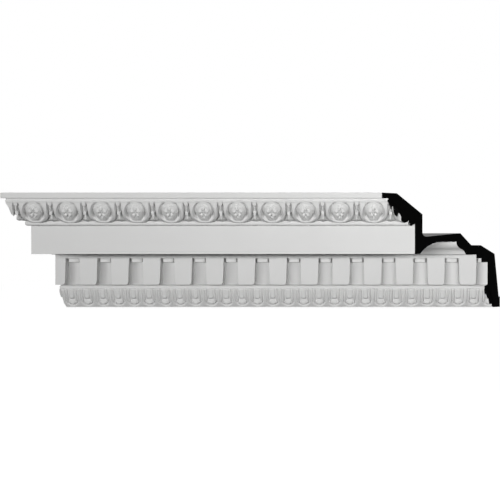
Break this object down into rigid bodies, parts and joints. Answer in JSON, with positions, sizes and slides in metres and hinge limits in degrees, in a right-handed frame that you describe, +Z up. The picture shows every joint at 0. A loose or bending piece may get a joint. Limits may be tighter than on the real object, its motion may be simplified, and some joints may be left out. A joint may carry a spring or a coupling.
{
  "type": "cornice moulding length",
  "caption": "Cornice moulding with an egg-and-dart crown, a plain corona, a row of dentils and a lower band of tongues, mitred at one end for an inside corner.",
  "frame": {"origin": "middle of the foot's flat back, where the moulding is fixed to the wall", "axes": "+X along the length towards the mitred end, +Y into the wall, +Z up towards the ceiling"},
  "size_m": [1.517, 0.39, 0.3555],
  "materials": {
    "primer": "matt white primer on rigid polyurethane"
  },
  "bodies": {
    "root": {"cornice_moulding": "primer"}
  },
  "joints": []
}
